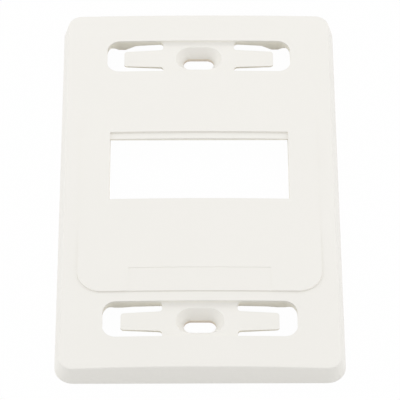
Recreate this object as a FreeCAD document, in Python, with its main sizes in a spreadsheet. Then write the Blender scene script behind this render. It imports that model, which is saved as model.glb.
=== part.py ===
"""Single gang wall faceplate with one wide window for snap-in data jacks.

One injection moulding, drawn lying on its back: +Z comes out of the face, +Y runs to the top
end, and the origin is the centre of the back rim. The body is an open-backed shell whose face is
crowned both ways, so a cut that follows the face is a crowned section swept along an arc.
The two label wells come from one set of steps, and differ only in how deep their walls hang.
"""
import FreeCAD, Part
import math
import os
import Sketcher

# Name, value in millimetres or degrees, and what it is.
SIZES = [
    # The outer shell.
    ("plate_width", 69.85, "across the back rim, single gang"),
    ("plate_length", 114.3, "along the back rim, single gang"),
    ("plate_corner", 4.6, "corner radius at the back rim"),
    ("plate_height", 5.6, "back rim to the crest of the face"),
    ("plate_slope", 15.7, "lean of the outer walls, degrees"),
    ("crown_across", 742, "radius of the face across the plate"),
    ("crown_along", 2600, "radius of the face along the plate"),
    ("wall", 1.6, "thickness of the shell"),
    ("edge_round", 0.4, "round between the face and the outer walls"),
    ("bury", 0.2, "share of the shell that the parts behind it reach into"),
    # The raised panel round the window.
    ("panel_width", 59.6, "across the raised panel"),
    ("panel_top", 24.5, "from the centre up to the panel's top edge"),
    ("panel_bottom", 33.65, "from the centre down to the panel's bottom edge"),
    ("panel_corner", 6, "corner radius of the panel"),
    ("panel_step", 0.1, "height of the panel at its sides and top"),
    ("panel_rise", 0.4, "height of the panel at its bottom edge"),
    ("ramp_start", 7, "from the centre down to where the panel starts to rise"),
    ("ramp_end", 26.7, "from the centre down to where the rise ends"),
    ("grip_width", 34.8, "across the shallow grip at the panel's bottom edge"),
    ("grip_depth", 0.1, "depth of that grip"),
    # The window.
    ("window_width", 44.8, "across the window"),
    ("window_top", 14.25, "from the centre up to the window's top edge"),
    ("window_bottom", 5.35, "from the centre down to the window's bottom edge"),
    ("ledge_length", 1.95, "from the window's top edge to the end of the ledge"),
    ("ledge_depth", 0.5, "depth of the ledge below the panel"),
    ("lip_depth", 1.25, "face to the underside of the lip that holds a jack's latch"),
    ("latch_room", 3.65, "space behind the lip, along the plate"),
    ("collar_wall", 1.5, "thickness of the collar behind the window"),
    ("collar_foot", 1.2, "back rim to the foot of the collar"),
    # The two label wells, with the screw slots in their floors.
    ("screw_spacing", 83.34, "between the two screws"),
    ("well_width", 47.1, "across a label well"),
    ("well_length", 10.4, "a label well, along the plate"),
    ("well_corner", 3.3, "corner radius of a label well"),
    ("well_depth", 1.5, "face to the floor of a well, at their middles"),
    ("well_cove", 1.0, "radius where a well's floor meets its long walls"),
    ("well_wall", 1.4, "thickness of the walls behind a well"),
    ("well_foot", 1.6, "back rim to the foot of those walls, at their middle"),
    ("skirt_start", 8.9, "from the middle out to where the walls turn shallow"),
    ("skirt_bend", 16.2, "from the middle out to where they start to deepen"),
    ("skirt_deep", 18.9, "from the middle out to where they are deep"),
    ("skirt_rise", 20.6, "from the middle out to where their foot slopes up again"),
    ("skirt_end", 24, "from the middle out to where that slope is inside the shell"),
    ("bottom_inner", 2.55, "face to the foot of the bottom well's walls, inner end"),
    ("bottom_bend", 2.85, "face to the foot of the bottom well's walls, at the bend"),
    ("bottom_deep", 3.2, "face to the foot of the bottom well's walls, deep end"),
    ("top_inner", 2.0, "face to the foot of the top well's walls, inner end"),
    ("top_bend", 2.6, "face to the foot of the top well's walls, at the bend"),
    ("top_deep", 4.1, "face to the foot of the top well's walls, deep end"),
    ("tongue_root", 9.1, "from the middle out to a tongue's root"),
    ("tongue_tip", 19.15, "from the middle out to a tongue's tip"),
    ("tongue_root_width", 5.85, "a tongue at its root"),
    ("tongue_tip_width", 4.85, "a tongue at its tip"),
    ("tongue_corner", 0.8, "corner radius at a tongue's tip"),
    ("tongue_thickness", 0.65, "a tongue at its root, below the well's floor"),
    ("slit_corner", 0.85, "radius at the closed end of a slit"),
    ("slot_length", 7.9, "a screw slot, across the plate"),
    ("slot_width", 3.7, "a screw slot, along the plate"),
    ("sink_depth", 2.4, "well's floor to the foot of the countersink"),
    ("sink_skim", 0.3, "overrun of the countersink past the well's floor"),
    ("sink_angle", 39, "lean of the countersink's sides from upright, degrees"),
    ("boss_foot", 0.75, "back rim to the foot of the screw boss"),
    ("boss_length", 15.6, "the screw boss, across the plate"),
    ("boss_width", 9.4, "the screw boss, along the plate"),
    # The ribs behind the face.
    ("rib_wall", 1.2, "thickness of a rib"),
    ("rib_foot", 1.8, "back rim to the foot of a rib"),
    ("rib_offset", 6.5, "from the middle out to the long ribs"),
    ("side_rib_place", 4.4, "from the centre up to the side ribs"),
    # Spare length that takes a cut past the solid.
    ("overrun", 3, "overrun of a cut past the face, the back or an end"),
]

UP = FreeCAD.Vector(0, 0, 1)

# Places that several features share, from the sheet's own values.
SKY = "(Sizes.plate_height + Sizes.overrun)"
ROOT = "(Sizes.plate_height - Sizes.wall * (1 - Sizes.bury))"
FLOOR = "(Sizes.plate_height - Sizes.well_depth)"
TONGUE_FOOT = "(Sizes.plate_height - Sizes.well_depth - Sizes.tongue_thickness)"
WELL_SIDE = "(Sizes.well_length / 2)"

doc = FreeCAD.newDocument("Faceplate")


def make_sheet():
    """The spreadsheet that holds every driving size under its own name."""
    sheet = doc.addObject("Spreadsheet::Sheet", "Sizes")
    for row, (name, value, meaning) in enumerate(SIZES, start=1):
        sheet.set(f"A{row}", name)
        sheet.set(f"B{row}", str(value))
        sheet.set(f"C{row}", meaning)
        sheet.setAlias(f"B{row}", name)
    doc.recompute()
    return sheet


sizes = make_sheet()


def make_body(name, label):
    body = doc.addObject("PartDesign::Body", name)
    body.Label = label
    return body


# Sketch helpers. Every length and angle is an expression in the sheet's names.

def number(expression):
    """The present value of an expression in the sheet's names."""
    value = sizes.evalExpression(expression)
    return float(getattr(value, "Value", value))


def vector(x, y):
    return FreeCAD.Vector(x, y, 0)


def new_sketch(body, name, role, offset=None):
    """A sketch on one of the body's own origin planes, moved along the plane's normal."""
    sketch = body.newObject("Sketcher::SketchObject", name)
    plane = next(part for part in body.Origin.OriginFeatures if part.Role == role)
    sketch.AttachmentSupport = [(plane, "")]
    sketch.MapMode = "FlatFace"
    if offset:
        sketch.setExpression("AttachmentOffset.Base.z", offset)
    return sketch


def tie(sketch, kind, *where):
    """A geometric constraint."""
    sketch.addConstraint(Sketcher.Constraint(kind, *where))


def drive(sketch, kind, where, expression):
    """A dimension whose value the sheet drives."""
    index = sketch.addConstraint(Sketcher.Constraint(kind, *where, number(expression)))
    sketch.setExpression(f"Constraints[{index}]", expression)


def place(sketch, geometry, point, x=None, y=None):
    """Ties a point of the sketch to the origin by driven distances along X, Y or both."""
    for kind, expression, axis in (("DistanceX", x, -2), ("DistanceY", y, -1)):
        if expression is None:
            continue
        if expression == "0":
            tie(sketch, "PointOnObject", geometry, point, axis)
        elif number(expression) > 0:
            drive(sketch, kind, (-1, 1, geometry, point), expression)
        else:
            drive(sketch, kind, (geometry, point, -1, 1), f"-({expression})")


def add_line(sketch, start, end):
    return sketch.addGeometry(Part.LineSegment(start, end))


def add_arc(sketch, middle, radius, start, end):
    """An arc that turns left from the start point to the end point about its middle."""
    angles = [math.atan2(point.y - middle.y, point.x - middle.x) for point in (start, end)]
    if angles[1] < angles[0]:
        angles[1] += 2 * math.pi
    return sketch.addGeometry(Part.ArcOfCircle(Part.Circle(middle, UP, radius), *angles))


def outline(sketch, corners):
    """A closed outline through corners (x, y) or, where rounded, (x, y, radius)."""
    points = [vector(number(corner[0]), number(corner[1])) for corner in corners]
    arrive = list(points)
    leave = list(points)
    middles = {}
    for index, corner in enumerate(corners):
        if len(corner) == 2:
            continue
        here = points[index]
        back = (points[index - 1] - here).normalize()
        onward = (points[(index + 1) % len(points)] - here).normalize()
        half = back.getAngle(onward) / 2
        radius = number(corner[2])
        arrive[index] = here + back * (radius / math.tan(half))
        leave[index] = here + onward * (radius / math.tan(half))
        middles[index] = here + (back + onward).normalize() * (radius / math.sin(half))
    lines = [add_line(sketch, leave[index - 1], arrive[index]) for index in range(len(points))]
    for index, corner in enumerate(corners):
        before = lines[index]
        after = lines[(index + 1) % len(lines)]
        if index not in middles:
            tie(sketch, "Coincident", before, 2, after, 1)
            place(sketch, after, 1, corner[0], corner[1])
            continue
        turn = (arrive[index] - middles[index]).cross(leave[index] - middles[index]).z
        ends = (arrive[index], leave[index]) if turn > 0 else (leave[index], arrive[index])
        arc = add_arc(sketch, middles[index], number(corner[2]), *ends)
        first, last = (1, 2) if turn > 0 else (2, 1)
        tie(sketch, "Tangent", before, 2, arc, first)
        tie(sketch, "Tangent", arc, last, after, 1)
        drive(sketch, "Radius", (arc,), corner[2])
        tip = sketch.addGeometry(Part.Point(points[index]), True)
        tie(sketch, "PointOnObject", tip, 1, before)
        tie(sketch, "PointOnObject", tip, 1, after)
        place(sketch, tip, 1, corner[0], corner[1])


def rectangle(sketch, left, right, bottom, top, radius=None):
    """A rectangle, with its four corners rounded if there is a radius."""
    corners = [(left, bottom), (right, bottom), (right, top), (left, top)]
    outline(sketch, [corner + (radius,) if radius else corner for corner in corners])


def centred(size):
    """The two limits of a size centred on an axis."""
    return f"-{size} / 2", f"{size} / 2"


def stadium(sketch, length, width, y):
    """A slot shape along X, centred at (0, y)."""
    reach = f"({length} - {width}) / 2"
    half = number(reach)
    radius = number(width) / 2
    middle = number(y)
    ends = [vector(half, middle - radius), vector(half, middle + radius),
            vector(-half, middle + radius), vector(-half, middle - radius)]
    right = add_arc(sketch, vector(half, middle), radius, ends[0], ends[1])
    top = add_line(sketch, ends[1], ends[2])
    left = add_arc(sketch, vector(-half, middle), radius, ends[2], ends[3])
    bottom = add_line(sketch, ends[3], ends[0])
    loop = (right, top, left, bottom)
    for index, piece in enumerate(loop):
        tie(sketch, "Tangent", piece, 2, loop[(index + 1) % 4], 1)
    drive(sketch, "Radius", (right,), f"{width} / 2")
    place(sketch, right, 3, reach, y)
    place(sketch, left, 3, f"-{reach}", y)


def sag(radius, along):
    """How far a crown of that radius has dropped at a distance from its crest."""
    return f"({radius} - sqrt(({radius})^2 - ({along})^2))"


def crowned_section(sketch, crest, half, top):
    """The space above the crown across the plate: an arc with straight sides and roof."""
    radius = "Sizes.crown_across"
    reach = number(half)
    low = number(f"{crest} - {sag(radius, half)}")
    high = number(top)
    middle = vector(0, number(f"{crest} - {radius}"))
    arc = add_arc(sketch, middle, number(radius), vector(reach, low), vector(-reach, low))
    left = add_line(sketch, vector(-reach, low), vector(-reach, high))
    roof = add_line(sketch, vector(-reach, high), vector(reach, high))
    right = add_line(sketch, vector(reach, high), vector(reach, low))
    for joint in ((arc, 2, left, 1), (left, 2, roof, 1), (roof, 2, right, 1), (right, 2, arc, 1)):
        tie(sketch, "Coincident", *joint)
    tie(sketch, "Vertical", left)
    tie(sketch, "Vertical", right)
    drive(sketch, "Radius", (arc,), radius)
    place(sketch, arc, 3, "0", f"{crest} - {radius}")
    place(sketch, roof, 1, f"-{half}", top)
    place(sketch, roof, 2, half, top)


def crown_arc(sketch, crest, radius, low, high):
    """An arc that crests on the vertical axis, between two distances along the horizontal."""
    ends = [vector(number(along), number(f"{crest} - {sag(radius, along)}")) for along in (high, low)]
    middle = vector(0, number(f"{crest} - {radius}"))
    arc = add_arc(sketch, middle, number(radius), *ends)
    drive(sketch, "Radius", (arc,), radius)
    place(sketch, arc, 3, "0", f"{crest} - {radius}")
    place(sketch, arc, 1, high)
    place(sketch, arc, 2, low)
    return arc


# Feature helpers. Each one checks that it adds or cuts something.

def finish(body, feature, before, sign):
    doc.recompute()
    change = (body.Shape.Volume - before) * sign
    if not change > 0:
        raise ValueError(f"{feature.Name} changes nothing: {feature.getStatusString()}")
    return feature


def volume(body):
    doc.recompute()
    return 0 if body.Shape.isNull() else body.Shape.Volume


def pad(profile, name, length, both_ways=False, **driven):
    """Material from the sketch along its normal, or half its length each way."""
    body = profile.getParentGeoFeatureGroup()
    before = volume(body)
    feature = body.newObject("PartDesign::Pad", name)
    feature.Profile = profile
    for size, expression in dict(driven, Length=length).items():
        feature.setExpression(size, expression)
    feature.Midplane = both_ways
    return finish(body, feature, before, 1)


def pocket(profile, name, length, **driven):
    """A cut from the sketch up along its normal."""
    body = profile.getParentGeoFeatureGroup()
    before = volume(body)
    feature = body.newObject("PartDesign::Pocket", name)
    feature.Profile = profile
    for size, expression in dict(driven, Length=length).items():
        feature.setExpression(size, expression)
    feature.Reversed = True
    return finish(body, feature, before, -1)


def sweep_cut(profile, path, name):
    """A cut that carries a section along a path."""
    body = profile.getParentGeoFeatureGroup()
    before = volume(body)
    feature = body.newObject("PartDesign::SubtractivePipe", name)
    feature.Profile = profile
    feature.Spine = (path, [f"Edge{index}" for index in range(1, len(path.Shape.Edges) + 1)])
    feature.Transition = "Transformed"
    return finish(body, feature, before, -1)


def cut_out(body, tool, name):
    """A cut in the form of another body."""
    before = volume(body)
    feature = body.newObject("PartDesign::Boolean", name)
    feature.Type = "Cut"
    feature.setObjects([tool])
    return finish(body, feature, before, -1)


def cut_above_face(body, name, depth, half, low, high):
    """Takes away what is above a surface parallel to the face, between two lines across it."""
    crest = f"(Sizes.plate_height - {depth})"
    radius = f"(Sizes.crown_along - {depth})"
    section = new_sketch(body, f"{name}Section", "XZ_Plane", f"-({low})")
    crowned_section(section, f"({crest} - {sag(radius, low)})", half, f"{SKY} + Sizes.overrun")
    path = new_sketch(body, f"{name}Path", "YZ_Plane")
    crown_arc(path, crest, radius, low, high)
    doc.recompute()
    return sweep_cut(section, path, name)


def make_crowned_block(body, prefix, inset):
    """The plate's outer form, or the same form set in by a wall: sloped sides, crowned top."""
    rim = new_sketch(body, f"{prefix}Rim", "XY_Plane")
    width = f"(Sizes.plate_width - 2 * {inset})"
    length = f"(Sizes.plate_length - 2 * {inset})"
    rectangle(rim, *centred(width), *centred(length), f"Sizes.plate_corner - {inset}")
    pad(rim, f"{prefix}Block", SKY, TaperAngle="-Sizes.plate_slope")
    return cut_above_face(body, f"{prefix}Crown", inset,
                          "(Sizes.plate_width / 2 + Sizes.overrun)",
                          "(-Sizes.plate_length / 2 - Sizes.overrun)",
                          "(Sizes.plate_length / 2 + Sizes.overrun)")


def make_shell(body):
    """The open-backed shell: the outer form, its rounded crease, less the form of its hollow."""
    block = make_crowned_block(body, "Plate", "0")
    face = max(block.Shape.Faces, key=lambda side: side.CenterOfMass.z)
    rim = [f"Edge{index}" for index, edge in enumerate(block.Shape.Edges, start=1)
           if any(edge.isSame(other) for other in face.Edges)]
    before = volume(body)
    crease = body.newObject("PartDesign::Fillet", "Crease")
    crease.Base = (block, rim)
    crease.setExpression("Radius", "Sizes.edge_round")
    finish(body, crease, before, -1)
    core = make_body("Core", "core")
    make_crowned_block(core, "Core", "Sizes.wall")
    cut_out(body, core, "Hollow")


def make_panel(body):
    """The raised panel: level with the face down to the window, then rising to its bottom edge."""
    edge = new_sketch(body, "PanelOutline", "XY_Plane", ROOT)
    rectangle(edge, *centred("Sizes.panel_width"), "-Sizes.panel_bottom", "Sizes.panel_top",
              "Sizes.panel_corner")
    pad(edge, "Panel", f"{SKY} - {ROOT}")

    level = ("(Sizes.plate_height + Sizes.panel_step)", "(Sizes.crown_along + Sizes.panel_step)")
    raised = ("(Sizes.plate_height + Sizes.panel_rise)", "(Sizes.crown_along + Sizes.panel_rise)")
    bottom = "(-Sizes.panel_bottom - Sizes.overrun)"
    section = new_sketch(body, "PanelSection", "XZ_Plane", f"-{bottom}")
    crowned_section(section, f"({raised[0]} - {sag(raised[1], bottom)})",
                    "(Sizes.panel_width / 2 + Sizes.overrun)", f"{SKY} + Sizes.overrun")
    path = new_sketch(body, "PanelPath", "YZ_Plane")
    lower = crown_arc(path, *raised, bottom, "-Sizes.ramp_end")
    upper = crown_arc(path, *level, "-Sizes.ramp_start", "(Sizes.panel_top + Sizes.overrun)")
    add_ramp(path, lower, upper)
    doc.recompute()
    sweep_cut(section, path, "PanelFace")
    cut_above_face(body, "Grip", "(Sizes.grip_depth - Sizes.panel_rise)", "Sizes.grip_width / 2",
                   bottom, "-Sizes.ramp_end")


def add_ramp(path, lower, upper):
    """A hollow arc that leaves the upper arc along its tangent and ends on the lower arc."""
    start = path.Geometry[upper].EndPoint
    end = path.Geometry[lower].StartPoint
    outward = (start - path.Geometry[upper].Center).normalize()
    chord = end - start
    radius = chord.Length ** 2 / (2 * chord.dot(outward))
    ramp = add_arc(path, start + outward * radius, radius, end, start)
    tie(path, "Tangent", upper, 2, ramp, 2)
    tie(path, "Coincident", ramp, 1, lower, 1)


def make_window(body):
    """The window, the collar behind it, the ledge above it and the lip that holds a latch."""
    half = "Sizes.window_width / 2"
    sides = (f"-{half}", half)
    far = "(Sizes.window_top + Sizes.latch_room)"
    collar = new_sketch(body, "CollarOutline", "XY_Plane", "Sizes.collar_foot")
    rectangle(collar, f"-{half} - Sizes.collar_wall", f"{half} + Sizes.collar_wall",
              "-Sizes.window_bottom - Sizes.collar_wall", f"{far} + Sizes.collar_wall")
    pad(collar, "Collar", f"{ROOT} - Sizes.collar_foot")
    room = new_sketch(body, "LatchRoomOutline", "XY_Plane")
    rectangle(room, *sides, "-Sizes.window_bottom", far)
    pocket(room, "LatchRoom", "Sizes.plate_height - Sizes.lip_depth")
    opening = new_sketch(body, "WindowOutline", "XY_Plane")
    rectangle(opening, *sides, "-Sizes.window_bottom", "Sizes.window_top")
    pocket(opening, "Window", SKY)
    cut_above_face(body, "Ledge", "(Sizes.ledge_depth - Sizes.panel_step)", half,
                   "(Sizes.window_top - Sizes.ledge_length)",
                   "(Sizes.window_top + Sizes.ledge_length)")


def make_well(body, end, screw):
    """A label well, with its walls, tongues, slits, screw slot and countersink."""
    low = f"({screw} - {WELL_SIDE})"
    high = f"({screw} + {WELL_SIDE})"
    half = "(Sizes.well_width / 2 - Sizes.well_corner)"
    make_well_walls(body, end, screw)
    under = new_sketch(body, f"{end}HollowOutline", "XY_Plane")
    plate = new_sketch(body, f"{end}TongueOutline", "XY_Plane", TONGUE_FOOT)
    for sketch in (under, plate):
        for side in ("", "-"):
            rectangle(sketch, f"{side}Sizes.skirt_start", f"{side}{half}", low, high)
    pocket(under, f"{end}Hollows", "Sizes.plate_height - Sizes.wall")
    pad(plate, f"{end}Tongues", f"{ROOT} - {TONGUE_FOOT}")

    foot = new_sketch(body, f"{end}BossOutline", "XY_Plane", "Sizes.boss_foot")
    stadium(foot, "Sizes.boss_length", "Sizes.boss_width", screw)
    pad(foot, f"{end}Boss", f"{ROOT} - Sizes.boss_foot")

    section = new_sketch(body, f"{end}WellSection", "YZ_Plane", f"-{half}")
    edge = f"({FLOOR} - {sag('Sizes.crown_across', half)})"
    outline(section, [(low, edge, "Sizes.well_cove"), (high, edge, "Sizes.well_cove"),
                      (high, SKY), (low, SKY)])
    path = new_sketch(body, f"{end}WellPath", "XZ_Plane", f"-{screw}")
    crown_arc(path, FLOOR, "Sizes.crown_across", f"-{half}", half)
    doc.recompute()
    sweep_cut(section, path, f"{end}WellChannel")
    slits = new_sketch(body, f"{end}SlitOutline", "XY_Plane")
    for side in ("", "-"):
        add_slit_outline(slits, side, screw)
    pocket(slits, f"{end}Slits", SKY)

    hole = new_sketch(body, f"{end}SlotOutline", "XY_Plane")
    stadium(hole, "Sizes.slot_length", "Sizes.slot_width", screw)
    pocket(hole, f"{end}ScrewSlot", SKY)
    make_countersink(body, end, screw)


def make_countersink(body, end, screw):
    """A countersink that leans up past the well's floor, and the room straight above its rim."""
    foot = f"{FLOOR} - Sizes.sink_depth"
    rise = "(Sizes.sink_depth + Sizes.sink_skim)"
    spread = f"2 * {rise} * tan(Sizes.sink_angle)"
    head = make_body(f"{end}Head", f"{end.lower()} screw head")
    cone = new_sketch(head, f"{end}SinkOutline", "XY_Plane", foot)
    stadium(cone, "Sizes.slot_length", "Sizes.slot_width", screw)
    pad(cone, f"{end}Sink", rise, TaperAngle="Sizes.sink_angle")
    rim = new_sketch(head, f"{end}RimOutline", "XY_Plane", f"{foot} + {rise}")
    stadium(rim, f"(Sizes.slot_length + {spread})", f"(Sizes.slot_width + {spread})", screw)
    pad(rim, f"{end}HeadRoom", f"{SKY} - ({foot}) - {rise}")
    cut_out(body, head, f"{end}Countersink")


def make_well_walls(body, end, screw):
    """The block that a well's walls are left from, drawn as its outline seen from the end."""
    inner, bend, deep = [f"(Sizes.plate_height - Sizes.{end.lower()}_{place})"
                         for place in ("inner", "bend", "deep")]
    foot = [("Sizes.skirt_start", "Sizes.well_foot"), ("Sizes.skirt_start", inner),
            ("Sizes.skirt_bend", bend), ("Sizes.skirt_deep", deep),
            ("Sizes.skirt_rise", deep), ("Sizes.skirt_end", ROOT)]
    block = new_sketch(body, f"{end}WallOutline", "XZ_Plane", f"-{screw}")
    outline(block, [(f"-{across}", up) for across, up in foot] + foot[::-1])
    pad(block, f"{end}Walls", "Sizes.well_length + 2 * Sizes.well_wall", both_ways=True)


def add_slit_outline(sketch, side, screw):
    """The opening round one tongue: the gap past its tip and the slit along each edge."""
    root = f"{side}Sizes.tongue_root"
    tip = f"{side}Sizes.tongue_tip"
    end = f"{side}Sizes.well_width / 2"
    outline(sketch, [
        (root, f"{screw} + {WELL_SIDE}", "Sizes.slit_corner"),
        (end, f"{screw} + {WELL_SIDE}", "Sizes.well_corner"),
        (end, f"{screw} - {WELL_SIDE}", "Sizes.well_corner"),
        (root, f"{screw} - {WELL_SIDE}", "Sizes.slit_corner"),
        (root, f"{screw} - Sizes.tongue_root_width / 2", "Sizes.slit_corner"),
        (tip, f"{screw} - Sizes.tongue_tip_width / 2", "Sizes.tongue_corner"),
        (tip, f"{screw} + Sizes.tongue_tip_width / 2", "Sizes.tongue_corner"),
        (root, f"{screw} + Sizes.tongue_root_width / 2", "Sizes.slit_corner"),
    ])


def mirror(body, name, features, role):
    """The features again, on the other side of one of the body's origin planes."""
    before = volume(body)
    copies = body.newObject("PartDesign::Mirrored", name)
    copies.Originals = features
    plane = next(part for part in body.Origin.OriginFeatures if part.Role == role)
    copies.MirrorPlane = (plane, [""])
    body.Tip = copies
    finish(body, copies, before, 1)


def make_rib(body, name, left, right, low, high):
    """A rib on the back of the face, buried at both ends in the walls that it joins."""
    foot = new_sketch(body, f"{name}Outline", "XY_Plane", "Sizes.rib_foot")
    rectangle(foot, left, right, low, high)
    return pad(foot, name, f"{ROOT} - Sizes.rib_foot")


def make_ribs(body):
    """Long ribs from each end wall to its well and on to the collar, and one rib at each side."""
    left = "Sizes.rib_offset - Sizes.rib_wall / 2"
    right = "Sizes.rib_offset + Sizes.rib_wall / 2"
    inner = "(Sizes.screw_spacing / 2 - Sizes.well_length / 2 - Sizes.well_wall / 2)"
    outer = "(Sizes.screw_spacing / 2 + Sizes.well_length / 2 + Sizes.well_wall / 2)"
    end = "(Sizes.plate_length / 2 - Sizes.wall)"
    collar_low = "(-Sizes.window_bottom - Sizes.collar_wall / 2)"
    collar_high = "(Sizes.window_top + Sizes.latch_room + Sizes.collar_wall / 2)"
    ribs = [
        make_rib(body, "BottomEndRib", left, right, f"-{end}", f"-{outer}"),
        make_rib(body, "BottomRib", left, right, f"-{inner}", collar_low),
        make_rib(body, "TopRib", left, right, collar_high, inner),
        make_rib(body, "TopEndRib", left, right, outer, end),
        make_rib(body, "SideRib", "Sizes.window_width / 2 + Sizes.collar_wall / 2",
                 "Sizes.plate_width / 2 - Sizes.wall",
                 "Sizes.side_rib_place - Sizes.rib_wall / 2",
                 "Sizes.side_rib_place + Sizes.rib_wall / 2"),
    ]
    mirror(body, "LeftRibs", ribs, "YZ_Plane")


def export(body):
    """Writes the body's solid, once every object of the document is sound."""
    doc.recompute()
    for item in doc.Objects:
        if "Invalid" in item.State or "Error" in item.State:
            raise ValueError(f"{item.Name}: {item.getStatusString()}")
    if body.Shape.isNull() or not body.Shape.isValid() or len(body.Shape.Solids) != 1:
        raise ValueError(f"{body.Label} isn't one sound solid")
    os.makedirs("parts", exist_ok=True)
    body.Shape.exportStep(f"parts/{body.Label}.step")


faceplate = make_body("Faceplate", "faceplate")
make_shell(faceplate)
make_panel(faceplate)
make_window(faceplate)
make_well(faceplate, "Bottom", "(-Sizes.screw_spacing / 2)")
make_well(faceplate, "Top", "(Sizes.screw_spacing / 2)")
make_ribs(faceplate)
export(faceplate)
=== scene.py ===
"""A moulded wall faceplate lying face up on a white table, seen from its lower end."""

import math

import bmesh
import bpy
from mathutils import Matrix, Vector

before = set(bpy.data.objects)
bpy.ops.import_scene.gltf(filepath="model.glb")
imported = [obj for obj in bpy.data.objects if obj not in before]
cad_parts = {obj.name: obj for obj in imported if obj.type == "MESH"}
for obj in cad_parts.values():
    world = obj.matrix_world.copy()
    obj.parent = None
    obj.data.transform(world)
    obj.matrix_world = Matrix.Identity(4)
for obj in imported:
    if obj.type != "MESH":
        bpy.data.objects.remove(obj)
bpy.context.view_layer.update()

MM = 0.001
scene = bpy.context.scene
scene.view_settings.view_transform = "Standard"

WHITE = (1.0, 1.0, 1.0, 1.0)
TABLE_PAINT = (0.82, 0.82, 0.81, 1.0)
TABLE_GLOW_SHARE = 0.985

# The plastic's two tints, a painted warm light on its walls well below the face, and painted shade
# on the thin lands of its slots.
DARKER_TINT = (0.868, 0.851, 0.806, 1.0)
LIGHTER_TINT = (0.890, 0.873, 0.830, 1.0)
PAINTED_WARM_LIGHT = (0.950, 0.912, 0.800, 1.0)
PAINTED_SLOT_SHADE = (0.760, 0.670, 0.570, 1.0)

# Where the mould's ejector pins stood, across and along from the centre, in millimetres.
PINS = ((29.0, 50.0), (29.0, -50.0), (28.5, 22.0), (28.5, -16.0))
PIN_RADIUS = 1.6


class Value:
    """One number that changes over a surface: sums on it add Math nodes to its finish."""

    def __init__(self, finish, socket):
        self.finish = finish
        self.socket = socket

    def work(self, operation, *values):
        node = self.finish.add("Math", {"operation": operation}, dict(enumerate(values)))
        return Value(self.finish, node.outputs[0])

    def __add__(self, other):
        return self.work("ADD", self, other)

    def __radd__(self, other):
        return self.work("ADD", other, self)

    def __sub__(self, other):
        return self.work("SUBTRACT", self, other)

    def __rsub__(self, other):
        return self.work("SUBTRACT", other, self)

    def __mul__(self, other):
        return self.work("MULTIPLY", self, other)

    def __rmul__(self, other):
        return self.work("MULTIPLY", other, self)

    def __abs__(self):
        return self.work("ABSOLUTE", self)

    def root(self):
        return self.work("SQRT", self)

    def or_more(self, other):
        return self.work("MAXIMUM", self, other)

    def from_to(self, low, high):
        """0 up to the low value, 1 from the high value on, and a smooth step between them."""
        node = self.finish.add(
            "MapRange",
            {"interpolation_type": "SMOOTHSTEP"},
            {"Value": self, "From Min": low, "From Max": high},
        )
        return Value(self.finish, node.outputs["Result"])


class Finish:
    """The nodes of a material or of the room, with one method that adds any node."""

    def __init__(self, owner, output):
        owner.use_nodes = True
        self.tree = owner.node_tree
        self.tree.nodes.clear()
        self.output = self.add(output)

    def add(self, kind, settings=(), inputs=()):
        node = self.tree.nodes.new("ShaderNode" + kind)
        for name, value in dict(settings).items():
            setattr(node, name, value)
        for name, value in dict(inputs).items():
            self.feed(node.inputs[name], value)
        return node

    def feed(self, socket, value):
        source = getattr(value, "socket", value)
        if isinstance(source, bpy.types.NodeSocket):
            self.tree.links.new(source, socket)
        else:
            socket.default_value = source

    def axes(self, vector):
        """The X, Y and Z values of a vector."""
        node = self.add("SeparateXYZ", inputs={0: vector})
        return [Value(self, output) for output in node.outputs]

    def noise(self, place, scale, detail):
        node = self.add("TexNoise", inputs={"Vector": place, "Scale": scale, "Detail": detail})
        return Value(self, node.outputs[0])

    def blend(self, share, first, second):
        """One colour where the share is 0 and the other where it is 1."""
        node = self.add("Mix", {"data_type": "RGBA"}, {0: share, 6: first, 7: second})
        return node.outputs[2]

    def show(self, shader):
        self.feed(self.output.inputs["Surface"], shader.outputs[0])


def warm_white_plastic():
    """Moulded off-white plastic: a spark-grained face and a smoother back with pin marks, with
    painted warm light on its deep walls and painted shade on its slot lands.
    """
    material = bpy.data.materials.new("warm_white_plastic")
    finish = Finish(material, "OutputMaterial")
    spot = finish.add("TexCoord").outputs["Object"]
    x, y, z = finish.axes(spot)
    upward = finish.axes(finish.add("NewGeometry").outputs["True Normal"])[2]
    aside = abs(x)
    ahead = abs(y)
    back = (0.0 - upward).from_to(0.3, 0.8)
    outer = aside.from_to(31.0 * MM, 32.0 * MM).or_more(ahead.from_to(51.0 * MM, 52.0 * MM))
    deep_inside = 1.0 - outer.or_more(z.from_to(3.8 * MM, 5.4 * MM))
    # Painted warm light: steep walls deep below the face get a warmer colour that stands in for
    # light bouncing in the wells and shining through the plastic.
    painted_recess_mask = (1.0 - abs(upward).from_to(0.35, 0.55)) * deep_inside
    # Painted shade: low walls in the wells, the lands of the slots, get a darker brown in place of
    # their shadow.
    low = 1.0 - z.from_to(0.8 * MM, 2.4 * MM)
    painted_slot_shade_mask = low * ahead.from_to(30.0 * MM, 35.0 * MM)

    flow = finish.noise(spot, 38.0, 3.0)
    grain = finish.noise(spot, 5200.0, 2.0)
    peel = finish.noise(spot, 900.0, 1.0)
    pins = pin_marks(aside, y) * back
    tint = finish.blend(flow, DARKER_TINT, LIGHTER_TINT)
    # Painted light and shade: warm light on the deep walls, and dark brown shade on the slot lands.
    painted_recess_light_and_shade = finish.blend(painted_slot_shade_mask, PAINTED_WARM_LIGHT, PAINTED_SLOT_SHADE)
    relief = (grain * 0.4 + peel * 0.6) * (1.0 - back * 0.6) - pins * 2.5
    bump = finish.add("Bump", inputs={"Strength": 0.25, "Distance": 0.02 * MM, "Height": relief})
    shader = finish.add(
        "BsdfPrincipled",
        inputs={
            "Base Color": finish.blend(painted_recess_mask, tint, painted_recess_light_and_shade),
            "Roughness": flow * 0.06 + grain * 0.08 + 0.4 - back * 0.06,
            "IOR": 1.5,
            "Normal": bump.outputs[0],
        },
    )
    finish.show(shader)
    return material


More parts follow.
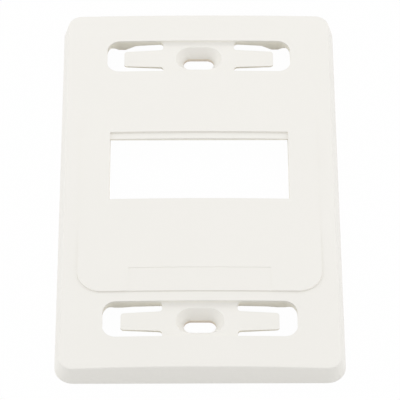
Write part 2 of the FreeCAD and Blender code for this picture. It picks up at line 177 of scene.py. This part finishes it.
def pin_marks(aside, along):
    """The faint rings that the mould's ejector pins leave on the back, 1 on a ring."""
    marks = 0.0
    for pin_aside, pin_along in PINS:
        across_pin = aside - pin_aside * MM
        along_pin = along - pin_along * MM
        distance = (across_pin * across_pin + along_pin * along_pin).root()
        ring = 1.0 - abs(distance - PIN_RADIUS * MM).from_to(0.05 * MM, 0.2 * MM)
        marks = ring.or_more(marks)
    return marks


def seen_directly(finish):
    """1 where the eye sees a surface itself, in a reflection or through glass, 0 for the light."""
    rays = finish.add("LightPath").outputs
    seen = Value(finish, rays["Is Camera Ray"])
    return seen.or_more(Value(finish, rays["Is Glossy Ray"])).or_more(
        Value(finish, rays["Is Transmission Ray"])
    )


def table_white():
    """A plain white table: white to the eye, pale to the light, and it keeps its shadows."""
    material = bpy.data.materials.new("table_white")
    finish = Finish(material, "OutputMaterial")
    paint = finish.add("BsdfDiffuse", inputs={"Color": TABLE_PAINT})
    glow = finish.add("Emission", inputs={"Color": WHITE, "Strength": 1.0})
    share = seen_directly(finish) * TABLE_GLOW_SHARE
    finish.show(finish.add("MixShader", inputs={0: share, 1: paint.outputs[0], 2: glow.outputs[0]}))
    return material


def lay_table():
    """A sheet just below the plate's back rim, so that the two don't lie in one plane."""
    mesh = bpy.data.meshes.new("table")
    sheet = bmesh.new()
    bmesh.ops.create_grid(sheet, x_segments=1, y_segments=1, size=3.0)
    bmesh.ops.translate(sheet, verts=sheet.verts, vec=(0.0, 0.0, -0.01 * MM))
    sheet.to_mesh(mesh)
    sheet.free()
    mesh.materials.append(table_white())
    table = bpy.data.objects.new("table", mesh)
    scene.collection.objects.link(table)


def hang_lamp(name, place, width, depth, power):
    """A softbox that faces the plate from a place in metres."""
    lamp = bpy.data.lights.new(name, "AREA")
    lamp.shape = "RECTANGLE"
    lamp.size = width
    lamp.size_y = depth
    lamp.energy = power
    holder = bpy.data.objects.new(name, lamp)
    scene.collection.objects.link(holder)
    holder.location = place
    holder.rotation_mode = "QUATERNION"
    holder.rotation_quaternion = (-Vector(place)).to_track_quat("-Z", "Y")


def fill_room(strength):
    """A white room all round, of which the light gets a share."""
    room = bpy.data.worlds.new("studio")
    scene.world = room
    finish = Finish(room, "OutputWorld")
    light = finish.add("Background", inputs={"Color": WHITE, "Strength": strength})
    wall = finish.add("Background", inputs={"Color": WHITE, "Strength": 1.0})
    seen = seen_directly(finish)
    finish.show(finish.add("MixShader", inputs={0: seen, 1: light.outputs[0], 2: wall.outputs[0]}))


def set_camera():
    """A long lens over the plate's lower end, looking down at about fifty degrees."""
    turn = math.radians(-0.281)
    rise = math.radians(51.81)
    roll = math.radians(-0.075)
    distance = 0.76072
    back = Vector(
        (math.sin(turn) * math.cos(rise), -math.cos(turn) * math.cos(rise), math.sin(rise))
    )
    right = Vector((math.cos(turn), math.sin(turn), 0.0))
    axes = Matrix((right, back.cross(right), back)).transposed()
    data = bpy.data.cameras.new("camera")
    data.sensor_width = 36.0
    data.lens = 273.5
    data.shift_x = 0.001735
    data.shift_y = -0.011755
    data.clip_start = 0.01
    data.clip_end = 50.0
    camera = bpy.data.objects.new("camera", data)
    scene.collection.objects.link(camera)
    place = Matrix.Translation(back * distance)
    camera.matrix_world = place @ axes.to_4x4() @ Matrix.Rotation(-roll, 4, "Z")
    scene.camera = camera


def finish_plate():
    """The plastic on the moulding, with flat faces shaded flat and creases kept sharp."""
    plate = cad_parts["faceplate"]
    plate.data.materials.clear()
    plate.data.materials.append(warm_white_plastic())
    weld = plate.modifiers.new("join_triangles", "WELD")
    weld.merge_threshold = 0.001 * MM
    split = plate.modifiers.new("part_at_creases", "EDGE_SPLIT")
    split.split_angle = math.radians(45.0)
    shade = plate.modifiers.new("even_shading", "WEIGHTED_NORMAL")
    shade.mode = "FACE_AREA"
    shade.weight = 100


finish_plate()
lay_table()
fill_room(0.595)
hang_lamp("softbox_over_far_end", (-0.02, 0.45, 0.55), 1.2, 0.7, 1.32)
hang_lamp("softbox_over_near_end", (0.0, -0.7, 0.45), 1.2, 0.6, 0.22)
hang_lamp("softbox_left", (-0.65, 0.0, 0.38), 1.4, 0.8, 2.38)
hang_lamp("softbox_right", (0.65, 0.0, 0.38), 1.4, 0.8, 2.28)
set_camera()
